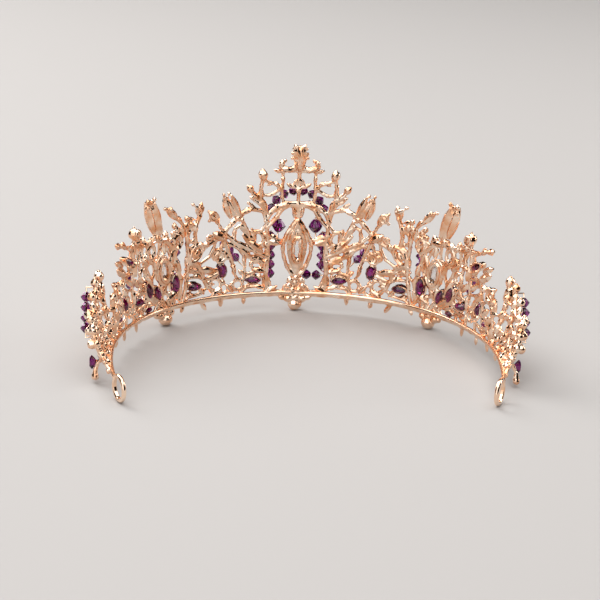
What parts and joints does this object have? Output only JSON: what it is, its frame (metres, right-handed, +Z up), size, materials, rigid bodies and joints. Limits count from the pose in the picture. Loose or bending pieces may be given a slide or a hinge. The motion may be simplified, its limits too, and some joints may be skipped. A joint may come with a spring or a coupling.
{
  "type": "bridal tiara",
  "caption": "Bridal tiara: an openwork cast crown on a U-shaped wire band, with threaded bicone crystals, set stones and a loop at each tail for fastening.",
  "frame": {"origin": "middle of the tiara's outline, on the surface it stands on", "axes": "+Z up as worn, -Y the way the wearer faces, +X to the wearer's left"},
  "size_m": [0.164, 0.1048, 0.0683],
  "materials": {
    "rose_gold": "cast, polished, pale rose gold plate",
    "band_gold": "drawn wire, polished, pale rose gold plate",
    "wire_gold": "fine wire, rose gold plate",
    "amethyst": "faceted, dark purple crystal",
    "clear_crystal": "faceted, clear crystal"
  },
  "bodies": {
    "root": {"arch_wire": "wire_gold", "base_band": "band_gold", "centre_casting": "rose_gold", "centre_crystal": "clear_crystal", "centre_drop": "rose_gold", "centre_finial": "rose_gold", "centre_marquise_setting": "rose_gold", "centre_rosette": "rose_gold", "centre_wires_left": "wire_gold", "centre_wires_right": "wire_gold", "end_amethysts_left": "amethyst", "end_amethysts_right": "amethyst", "end_casting_left": "rose_gold", "end_casting_right": "rose_gold", "end_loop_left": "band_gold", "end_loop_right": "band_gold", "foot_strand_wire": "wire_gold", "shoulder_amethysts_left": "amethyst", "shoulder_amethysts_right": "amethyst", "shoulder_casting_left": "rose_gold", "shoulder_casting_right": "rose_gold", "shoulder_leaf_left": "rose_gold", "shoulder_leaf_right": "rose_gold", "side_amethysts_left": "amethyst", "side_amethysts_right": "amethyst", "side_casting_left": "rose_gold", "side_casting_right": "rose_gold", "side_crystal_left": "clear_crystal", "side_crystal_right": "clear_crystal", "side_drop_left": "rose_gold", "side_drop_right": "rose_gold", "side_leaf_left": "rose_gold", "side_leaf_right": "rose_gold", "side_oval_setting_left": "rose_gold", "side_oval_setting_right": "rose_gold", "side_wires_left": "wire_gold", "side_wires_right": "wire_gold"},
    "arch_bead_1": {"arch_bead_1": "amethyst"},
    "arch_bead_2": {"arch_bead_2": "amethyst"},
    "arch_bead_3": {"arch_bead_3": "amethyst"},
    "arch_bead_4": {"arch_bead_4": "amethyst"},
    "arch_bead_5": {"arch_bead_5": "amethyst"},
    "arch_bead_6": {"arch_bead_6": "amethyst"},
    "arch_bead_7": {"arch_bead_7": "amethyst"},
    "arch_bead_8": {"arch_bead_8": "amethyst"},
    "big_bead_left": {"big_bead_left": "amethyst"},
    "big_bead_right": {"big_bead_right": "amethyst"},
    "centre_strand_left": {"centre_strand_left": "amethyst"},
    "centre_strand_right": {"centre_strand_right": "amethyst"},
    "end_strand_left": {"end_strand_left": "amethyst"},
    "end_strand_right": {"end_strand_right": "amethyst"},
    "foot_strand": {"foot_strand": "amethyst"},
    "shoulder_strand_left": {"shoulder_strand_left": "amethyst"},
    "shoulder_strand_right": {"shoulder_strand_right": "amethyst"},
    "side_strand_left": {"side_strand_left": "amethyst"},
    "side_strand_right": {"side_strand_right": "amethyst"},
    "temple_strand_left": {"temple_strand_left": "amethyst"},
    "temple_strand_right": {"temple_strand_right": "amethyst"}
  },
  "joints": [
    {"name": "arch_bead_1_spin", "type": "hinge", "parent": "root", "child": "arch_bead_1", "pos_m": [-0.01041, -0.04983, 0.04186], "axis": [0.3239, 0, 0.9461], "continuous": true},
    {"name": "arch_bead_2_spin", "type": "hinge", "parent": "root", "child": "arch_bead_2", "pos_m": [-0.00853, -0.04983, 0.04525], "axis": [0.6322, 0, 0.7748], "continuous": true},
    {"name": "arch_bead_3_spin", "type": "hinge", "parent": "root", "child": "arch_bead_3", "pos_m": [-0.00558, -0.04983, 0.04778], "axis": [0.8619, 0, 0.5071], "continuous": true},
    {"name": "arch_bead_4_spin", "type": "hinge", "parent": "root", "child": "arch_bead_4", "pos_m": [-0.00194, -0.04983, 0.04913], "axis": [0.9843, 0, 0.1763], "continuous": true},
    {"name": "arch_bead_5_spin", "type": "hinge", "parent": "root", "child": "arch_bead_5", "pos_m": [0.00194, -0.04983, 0.04913], "axis": [0.9843, 0, -0.1763], "continuous": true},
    {"name": "arch_bead_6_spin", "type": "hinge", "parent": "root", "child": "arch_bead_6", "pos_m": [0.00557, -0.04983, 0.04778], "axis": [0.8619, 0, -0.5071], "continuous": true},
    {"name": "arch_bead_7_spin", "type": "hinge", "parent": "root", "child": "arch_bead_7", "pos_m": [0.00852, -0.04983, 0.04525], "axis": [0.6322, 0, -0.7748], "continuous": true},
    {"name": "arch_bead_8_spin", "type": "hinge", "parent": "root", "child": "arch_bead_8", "pos_m": [0.0104, -0.04983, 0.04186], "axis": [0.3239, 0, -0.9461], "continuous": true},
    {"name": "big_bead_left_spin", "type": "hinge", "parent": "root", "child": "big_bead_left", "pos_m": [0.00736, -0.0495, 0.0348], "axis": [0.0446, 0.0039, -0.999], "continuous": true},
    {"name": "big_bead_right_spin", "type": "hinge", "parent": "root", "child": "big_bead_right", "pos_m": [-0.00737, -0.0495, 0.0348], "axis": [-0.0446, 0.0039, -0.999], "continuous": true},
    {"name": "centre_strand_left_spin", "type": "hinge", "parent": "root", "child": "centre_strand_left", "pos_m": [0.01022, -0.0492, 0.0225], "axis": [0, 0, -1], "continuous": true},
    {"name": "centre_strand_right_spin", "type": "hinge", "parent": "root", "child": "centre_strand_right", "pos_m": [-0.01023, -0.0492, 0.0245], "axis": [0, 0, -1], "continuous": true},
    {"name": "end_strand_left_spin", "type": "hinge", "parent": "root", "child": "end_strand_left", "pos_m": [0.08002, 0.01859, 0.0224], "axis": [-0.0152, 0.6148, -0.7885], "continuous": true},
    {"name": "end_strand_right_spin", "type": "hinge", "parent": "root", "child": "end_strand_right", "pos_m": [-0.08003, 0.01859, 0.0224], "axis": [0.0152, 0.6148, -0.7885], "continuous": true},
    {"name": "foot_strand_spin", "type": "hinge", "parent": "root", "child": "foot_strand", "pos_m": [-0.00648, -0.04946, 0.0143], "axis": [-0.9968, 0.0774, -0.0222], "continuous": true},
    {"name": "shoulder_strand_left_spin", "type": "hinge", "parent": "root", "child": "shoulder_strand_left", "pos_m": [0.02674, -0.04532, 0.0253], "axis": [-0.5943, -0.2013, -0.7787], "continuous": true},
    {"name": "shoulder_strand_right_spin", "type": "hinge", "parent": "root", "child": "shoulder_strand_right", "pos_m": [-0.02675, -0.04532, 0.0253], "axis": [0.5943, -0.2013, -0.7787], "continuous": true},
    {"name": "side_strand_left_spin", "type": "hinge", "parent": "root", "child": "side_strand_left", "pos_m": [0.04808, -0.03429, 0.02795], "axis": [0.0252, -0.032, -0.9992], "continuous": true},
    {"name": "side_strand_right_spin", "type": "hinge", "parent": "root", "child": "side_strand_right", "pos_m": [-0.04809, -0.03429, 0.02795], "axis": [-0.0252, -0.032, -0.9992], "continuous": true},
    {"name": "temple_strand_left_spin", "type": "hinge", "parent": "root", "child": "temple_strand_left", "pos_m": [0.06521, -0.01399, 0.0231], "axis": [-0.1706, -0.297, -0.9395], "continuous": true},
    {"name": "temple_strand_right_spin", "type": "hinge", "parent": "root", "child": "temple_strand_right", "pos_m": [-0.06522, -0.01399, 0.0231], "axis": [0.1706, -0.297, -0.9395], "continuous": true}
  ]
}
